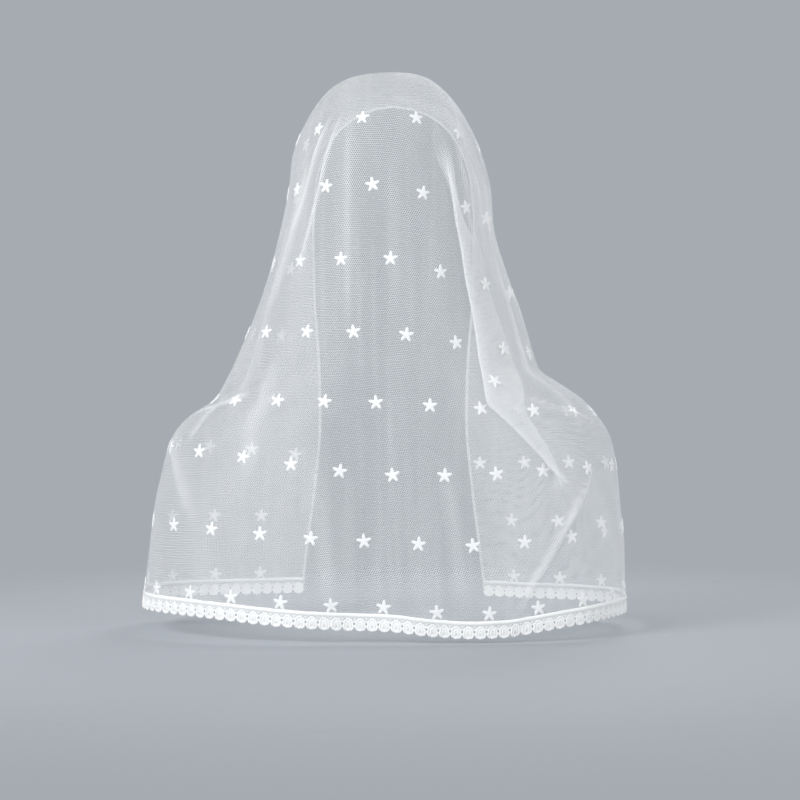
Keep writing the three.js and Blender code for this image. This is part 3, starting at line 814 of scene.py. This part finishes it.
def star_pattern():
    """One star, flat: across, up and out of the cloth in millimetres, its arms padded and domed."""
    falling = [(-across, along) for along, across in reversed(STAR_ARM)]
    rising = [(across, along) for along, across in STAR_ARM[1:]]
    outline = []
    for k in range(5):
        turned = Matrix.Rotation(math.tau * k / 5, 3, "Z")
        ahead = Matrix.Rotation(math.tau * (k + 1) / 5, 3, "Z")
        outline += [turned @ Vector((x, y, 0)) for x, y in [(0, STAR_RADIUS)] + falling]
        outline += [ahead @ Vector((x, y, 0)) for x, y in rising]
    bm = bmesh.new()
    rim = bmesh.ops.create_circle(bm, cap_ends=True, segments=len(outline), radius=1.0)["verts"]
    for vert, place in zip(rim, outline):
        vert.co = place + Vector((0, 0, -STAR_DEEP))
    cap = next(iter(bm.faces))
    size = 1.0
    height = -STAR_DEEP
    for next_size, next_height in STAR_DOME:
        cap = extrude_end(bm, cap, keep=size == 1.0)
        bmesh.ops.scale(bm, verts=cap.verts, vec=(next_size / size, next_size / size, 1.0))
        bmesh.ops.translate(bm, verts=cap.verts, vec=(0, 0, next_height - height))
        size, height = next_size, next_height
    bmesh.ops.poke(bm, faces=[cap])
    bmesh.ops.recalc_face_normals(bm, faces=bm.faces)
    layer = bm.loops.layers.uv.new("stitches")
    for face in bm.faces:
        for loop in face.loops:
            place = loop.vert.co
            loop[layer].uv = (place.x * MM, math.hypot(place.x, place.y) * MM)
    pattern = bpy.data.meshes.new("star_pattern")
    bm.to_mesh(pattern)
    bm.free()
    return pattern


def embroider(bm, pattern, level, azimuth, turn):
    """Lays one star on the cloth, each of its points on what a short ray towards the cloth meets."""
    beside = 6.0
    ray_from = 5.0
    # A hit further off than this is on another layer of the cloth
    furthest_hit = 3.2
    step = math.degrees(beside / mean_radius(level))
    centre = ruffled(outermost(level, azimuth))
    across = (outermost(level, azimuth - step) - outermost(level, azimuth + step)).normalized()
    up = (outermost(level - beside, azimuth) - outermost(level + beside, azimuth)).normalized()
    outward = across.cross(up).normalized()
    if outward.x * centre.x + outward.y * centre.y < 0:
        outward.negate()
    across = up.cross(outward)
    turned = Matrix.Rotation(math.radians(turn), 3, "Z")
    first = len(bm.verts)
    bm.from_mesh(pattern)
    bm.verts.ensure_lookup_table()
    for vert in bm.verts[first:]:
        place = turned @ vert.co
        flat = centre + across * place.x + up * place.y
        hit = cloth_tree.ray_cast((flat + outward * ray_from) * MM, -outward, 2 * ray_from * MM)[0]
        base = hit / MM if hit and abs((hit / MM - flat).dot(outward)) < furthest_hit else flat
        vert.co = (base + outward * (CLOTH_THICK / 2 + place.z)) * MM


star = star_pattern()
stars_mesh = bmesh.new()
stars_mesh.loops.layers.uv.new("stitches")
for level, azimuth, turn in star_spots():
    embroider(stars_mesh, star, level, azimuth, turn)
bpy.data.meshes.remove(star)
bmesh.ops.recalc_face_normals(stars_mesh, faces=stars_mesh.faces)
# Rayon machine embroidery in satin stitch: bright silky white, fine lines across each arm. Real thread
# is 0.4 mm; it is drawn coarser so that it shows.
# Its second colour, #E9EBED, is painted shade in the grooves between the stitches
star_thread = thread_material("rayon_satin_stitch", "#FDFDFC", "#E9EBED", 0.8, 0.2)
stars = finish_mesh("embroidered_stars", stars_mesh, star_thread)


# Lace trim: one motif is shaped flat, repeated along the hem and then bent on it.
# Flat coordinates: along the hem, down from the trim's top, out of the cloth.
def thread(bm, path, radius):
    """Adds a flattened thread; its end is extruded, moved and turned from point to point of a flat path."""
    tip = 0.6
    points = [Vector((x, y, GROUND_TOP + 0.3 * radius)) for x, y in path]
    headings = [math.atan2(after.y - before.y, after.x - before.x)
                for before, after in zip(points[:1] + points[:-1], points[1:] + points[-1:])]
    laid = Matrix.Translation(points[0]) @ Matrix.Rotation(headings[0], 4, "Z")
    shaped = Matrix.Diagonal((1, 1, 0.5, 1)) @ Matrix.Rotation(math.pi / 2, 4, "Y")
    start = bmesh.ops.create_circle(bm, cap_ends=True, segments=6, radius=tip * radius, matrix=laid @ shaped)
    end = start["verts"][0].link_faces[0]
    for i in range(1, len(points)):
        end = extrude_end(bm, end, keep=i == 1)
        turned = Matrix.Rotation(headings[i] - headings[i - 1], 3, "Z")
        size = (1 / tip if i == 1 else 1.0) * (tip if i == len(points) - 1 else 1.0)
        bmesh.ops.translate(bm, verts=end.verts, vec=points[i] - points[i - 1])
        bmesh.ops.rotate(bm, verts=end.verts, cent=points[i], matrix=turned)
        bmesh.ops.scale(bm, verts=end.verts, vec=(size, size, size), space=Matrix.Translation(-points[i]))


def motif_pattern():
    """One motif of the lace, flat, its middle at 0 along: open ground, a dense fan, threads and knots."""
    bm = bmesh.new()
    for outline, height in ((NET_OUTLINE, BARS_TOP), (FAN_OUTLINE, GROUND_TOP)):
        mirrored = [(-x, y) for x, y in reversed(outline) if x]
        plate = bm.faces.new([bm.verts.new((x, y, GROUND_BASE)) for x, y in outline + mirrored])
        plate.material_index = 1 if outline is NET_OUTLINE else 0
        top = extrude_end(bm, plate, keep=True)
        bmesh.ops.translate(bm, verts=top.verts, vec=(0, 0, height - GROUND_BASE))
        for edge in top.edges:
            for side in edge.link_faces:
                side.material_index = plate.material_index
    for side in (-1, 1):
        for radius, path in FAN_THREADS:
            thread(bm, [(side * x, y) for x, y in path], radius)
    for x, y, half_width, half_depth in FAN_KNOTS:
        shaped = Matrix.Diagonal((half_width, half_depth, KNOT_RISE, 1))
        placed = Matrix.Translation((x, y, GROUND_TOP)) @ shaped
        bmesh.ops.create_icosphere(bm, subdivisions=1, radius=1.0, matrix=placed)
    layer = bm.loops.layers.uv.new("stitches")
    for face in bm.faces:
        for loop in face.loops:
            loop[layer].uv = (loop.vert.co.x * MM, loop.vert.co.y * MM)
    pattern = bpy.data.meshes.new("motif_pattern")
    bm.to_mesh(pattern)
    bm.free()
    return pattern


hem = Hem()
motif_count = round(hem.length / SCALLOP)
pitch = hem.length / motif_count
trim_mesh = bmesh.new()
trim_layer = trim_mesh.loops.layers.uv.new("stitches")
# The woven heading along the top: a straight flattened rod, cut into short lengths so that it can bend
heading_place = Matrix.Translation((hem.length / 2, HEADING_DOWN, HEADING_OUT))
flattened = Matrix.Diagonal((1, 1, 0.42, 1)) @ Matrix.Rotation(math.pi / 2, 4, "Y")
bmesh.ops.create_cone(
    trim_mesh, cap_ends=True, segments=10, radius1=HEADING_RADIUS, radius2=HEADING_RADIUS, depth=hem.length,
    matrix=heading_place @ flattened,
)
lengthwise = [edge for edge in trim_mesh.edges if edge.calc_length() > SCALLOP]
bmesh.ops.subdivide_edges(trim_mesh, edges=lengthwise, cuts=560)
for face in trim_mesh.faces:
    for loop in face.loops:
        loop[trim_layer].uv = (loop.vert.co.y * MM, loop.vert.co.x * MM)
motif = motif_pattern()
for k in range(motif_count):
    first = len(trim_mesh.verts)
    trim_mesh.from_mesh(motif)
    trim_mesh.verts.ensure_lookup_table()
    for vert in trim_mesh.verts[first:]:
        vert.co.x = vert.co.x * pitch / SCALLOP + (k + 0.5) * pitch
bpy.data.meshes.remove(motif)
for vert in trim_mesh.verts:
    along, down, out = vert.co
    sway = 0.5 * noise.noise(Vector((along / 14, 3.0, 0))) * (down / TRIM_DROP) ** 2
    dip = 0.25 * noise.noise(Vector((along / 9, 8.0, 0)))
    vert.co = hem.place(along, down + dip, out + sway)
bmesh.ops.triangulate(trim_mesh, faces=[face for face in trim_mesh.faces if len(face.verts) > 4])
bmesh.ops.recalc_face_normals(trim_mesh, faces=trim_mesh.faces)
# Cotton guipure, chemical lace stitched on a ground that is washed away: dense matt white stitching with
# a raised thread round each fan. Real thread is 0.35 mm; it is drawn coarser so that it shows.
# Its second colour, #F4F5F5, is painted shade in the grooves between the stitches
trim_thread = thread_material("cotton_guipure_thread", "#FEFEFC", "#F4F5F5", 0.7, 0.08)
# The open bars between heading and fans: the same cotton, with holes of about 0.7 mm
trim_ground = net_material("guipure_ground", 1.5 * MM, 0.26, 0.0, "stitches", 1.0)
trim = finish_mesh("lace_hem_trim", trim_mesh, trim_thread, trim_ground)
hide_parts("lace_hem_trim")

# Narrow hem along the face edge: a grid along the edge, with every third point of it, rolled round the
# hem's section and closed
path = face_edge_path[:-1:3] + face_edge_path[-1:]
edge_mesh = bmesh.new()
edge_layer = edge_mesh.loops.layers.uv.new("stitches")
across_count = len(EDGE_PROFILE) + 1
edge_grid = bmesh.ops.create_grid(
    edge_mesh, x_segments=across_count - 1, y_segments=len(path) - 1, size=1.0, calc_uvs=True,
)["verts"]
edge_length = sum((two[0] - one[0]).length for one, two in zip(path, path[1:]))
for face in edge_mesh.faces:
    for loop in face.loops:
        loop[edge_layer].uv = (loop[edge_layer].uv.x * EDGE_GIRTH * MM, loop[edge_layer].uv.y * edge_length)
for i, (point, normal) in enumerate(path):
    before = path[max(0, i - 1)][0]
    after = path[min(len(path) - 1, i + 1)][0]
    inward = normal.cross(after - before).normalized()
    for vert, (u, w) in zip(edge_grid[i * across_count:], EDGE_PROFILE + EDGE_PROFILE[:1]):
        vert.co = point + (inward * u + normal * w) * MM
bmesh.ops.remove_doubles(edge_mesh, verts=edge_mesh.verts, dist=1e-6)
bmesh.ops.holes_fill(edge_mesh, edges=[edge for edge in edge_mesh.edges if edge.is_boundary], sides=0)
bmesh.ops.recalc_face_normals(edge_mesh, faces=edge_mesh.faces)
# The same tulle, turned under twice and stitched: three layers, so a milky white line
edge_net = net_material("turned_tulle_hem", MESH_PERIOD * MM, 0.08, 0.0, "stitches", 1.0)
face_edge = finish_mesh("face_edge_hem", edge_mesh, edge_net)

# Floor that fades into a backdrop of the same grey paper, dark enough for white net to show against it
PAPER = "#A6ABB1"
FLOOR_RADIUS = 1.6
FLOOR_BELOW = 4 * MM
FADE_FROM = 0.55
FADE_TO = 1.05
floor_mesh = bmesh.new()
bmesh.ops.create_circle(floor_mesh, cap_ends=True, segments=96, radius=FLOOR_RADIUS)
bmesh.ops.translate(floor_mesh, verts=floor_mesh.verts, vec=(0, 0, cad_box[0].z - FLOOR_BELOW))
floor_material, floor_tree = new_material("studio_floor")
floor_shader = add_node(floor_tree, "ShaderNodeBsdfPrincipled", {
    "Base Color": to_linear(PAPER), "Roughness": 0.9,
})
floor_place = add_node(floor_tree, "ShaderNodeTexCoord").outputs["Object"]
from_middle = add_node(floor_tree, "ShaderNodeVectorMath", {0: floor_place}, operation="LENGTH").outputs[1]
fade = add_node(floor_tree, "ShaderNodeMapRange", {0: from_middle, 1: FADE_FROM, 2: FADE_TO, 3: 1.0, 4: 0.0},
                interpolation_type="SMOOTHERSTEP").outputs[0]
floor_clear = add_node(floor_tree, "ShaderNodeBsdfTransparent")
floor_mix = add_node(floor_tree, "ShaderNodeMixShader", {
    0: fade, 1: floor_clear.outputs[0], 2: floor_shader.outputs[0],
})
add_node(floor_tree, "ShaderNodeOutputMaterial", {"Surface": floor_mix.outputs[0]})
floor_data = bpy.data.meshes.new("floor")
floor_mesh.to_mesh(floor_data)
floor_mesh.free()
floor_data.materials.append(floor_material)
floor = bpy.data.objects.new("floor", floor_data)
bpy.context.scene.collection.objects.link(floor)

world = bpy.data.worlds.new("studio")
world.use_nodes = True
studio = world.node_tree
studio.nodes.clear()
seen = add_node(studio, "ShaderNodeBackground", {"Color": to_linear(PAPER), "Strength": 1.0})
ambient = add_node(studio, "ShaderNodeBackground", {"Color": to_linear("#F4F7FB"), "Strength": 0.55})
camera_ray = add_node(studio, "ShaderNodeLightPath").outputs["Is Camera Ray"]
backdrop = add_node(studio, "ShaderNodeMixShader", {0: camera_ray, 1: ambient.outputs[0], 2: seen.outputs[0]})
add_node(studio, "ShaderNodeOutputWorld", {"Surface": backdrop.outputs[0]})
bpy.context.scene.world = world


def area_light(name, place, target, size, power):
    light = bpy.data.lights.new(name, "AREA")
    light.size = size
    light.energy = power
    lamp = bpy.data.objects.new(name, light)
    lamp.location = place
    lamp.rotation_euler = (Vector(target) - Vector(place)).to_track_quat("-Z", "Y").to_euler()
    bpy.context.scene.collection.objects.link(lamp)


# The key and the fill stand on the camera's side, the third light on the face side
area_light("key", (1.7, 1.7, 0.8), (0, 0, -0.3), 1.2, 48)
area_light("fill", (-1.9, 1.6, 0.1), (0, 0, -0.3), 1.6, 20)
area_light("back", (-0.6, -1.9, 1.0), (0, 0, -0.2), 1.2, 22)

# Many layers of see-through net lie behind each other
bpy.context.scene.cycles.transparent_max_bounces = 48
bpy.context.scene.view_settings.view_transform = "Standard"
